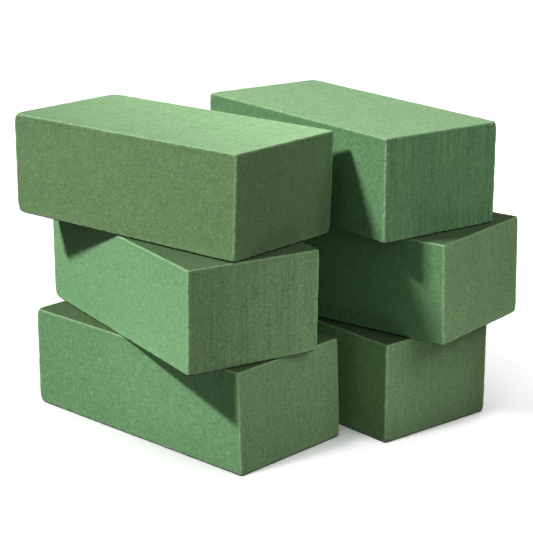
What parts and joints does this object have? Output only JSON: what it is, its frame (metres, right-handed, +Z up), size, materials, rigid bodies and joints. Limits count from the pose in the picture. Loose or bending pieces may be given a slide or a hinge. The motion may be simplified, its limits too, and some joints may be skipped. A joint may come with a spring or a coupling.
{
  "type": "floral foam brick stack",
  "caption": "Loose stack of rectangular green floral foam bricks with sawn faces. Each one lifts off, and takes and waters cut stems once it is soaked.",
  "frame": {"origin": "centre of the left bottom brick's underside, on the table", "axes": "+Z up; the left bottom brick's length runs along Y, with the sawn ends that face out of the stack at -Y; +X runs across the bricks, from the left column to the right one"},
  "size_m": [0.2989, 0.3138, 0.24],
  "materials": {
    "left_bottom_brick": "matte open-cell foam",
    "left_middle_brick": "matte open-cell foam",
    "left_top_brick": "matte open-cell foam",
    "right_bottom_brick": "matte open-cell foam",
    "right_middle_brick": "matte open-cell foam",
    "right_top_brick": "matte open-cell foam"
  },
  "bodies": {
    "left_bottom": {"left_bottom_brick": "left_bottom_brick"},
    "left_middle": {"left_middle_brick": "left_middle_brick"},
    "left_top": {"left_top_brick": "left_top_brick"},
    "right_bottom": {"right_bottom_brick": "right_bottom_brick"},
    "right_middle": {"right_middle_brick": "right_middle_brick"},
    "right_top": {"right_top_brick": "right_top_brick"}
  },
  "joints": [
    {"name": "left_middle_lift", "type": "slide", "parent": "left_bottom", "child": "left_middle", "axis": [0, 0, 1], "range_m": [0, 0.18]},
    {"name": "left_top_lift", "type": "slide", "parent": "left_middle", "child": "left_top", "axis": [0, 0, 1], "range_m": [0, 0.1]},
    {"name": "right_column_slide", "type": "slide", "parent": "left_bottom", "child": "right_bottom", "axis": [1, 0, 0], "range_m": [0, 0.1]},
    {"name": "right_middle_lift", "type": "slide", "parent": "right_bottom", "child": "right_middle", "axis": [0, 0, 1], "range_m": [0, 0.18]},
    {"name": "right_top_lift", "type": "slide", "parent": "right_middle", "child": "right_top", "axis": [0, 0, 1], "range_m": [0, 0.1]}
  ]
}
